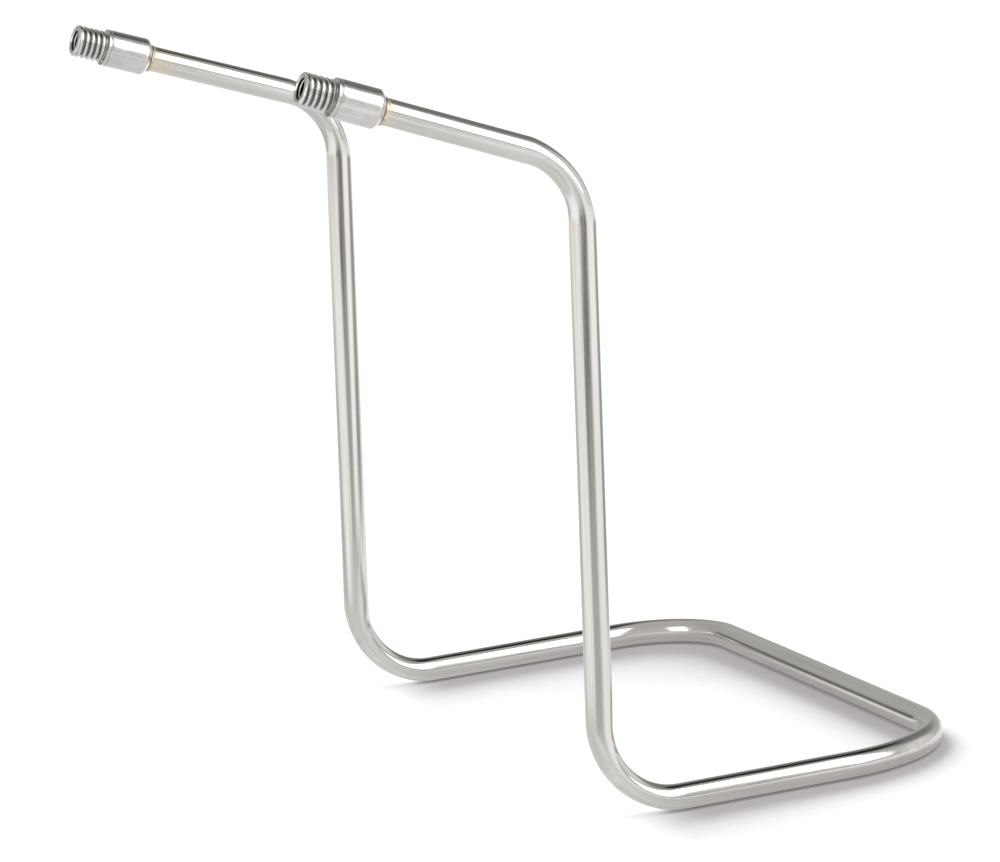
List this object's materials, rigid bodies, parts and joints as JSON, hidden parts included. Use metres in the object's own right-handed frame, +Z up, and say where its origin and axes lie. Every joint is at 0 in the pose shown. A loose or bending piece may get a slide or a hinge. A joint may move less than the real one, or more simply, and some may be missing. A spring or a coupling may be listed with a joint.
{
  "type": "bent tube loop stand",
  "caption": "Free-standing stand bent from stainless tube: U-shaped base, uprights and rising forward arms with threaded hollow end fittings, for a spool or a fluid line",
  "frame": {"origin": "under the middle of the outer box, on the floor the base stands on", "axes": "+Z up; the arms and their mouths point to -X and the base runs to +X; +Y runs from the right arm to the left arm, for someone facing the mouths"},
  "size_m": [0.1944, 0.2356, 0.23],
  "materials": {
    "tube_steel": "drawn and lightly brushed, satin",
    "fitting_steel": "machined, bright",
    "braze": "straw-tinted filler metal"
  },
  "bodies": {
    "root": {"loop_tube": "tube_steel", "left_fitting": "fitting_steel", "left_braze_ring": "braze", "right_fitting": "fitting_steel", "right_braze_ring": "braze"}
  },
  "joints": []
}
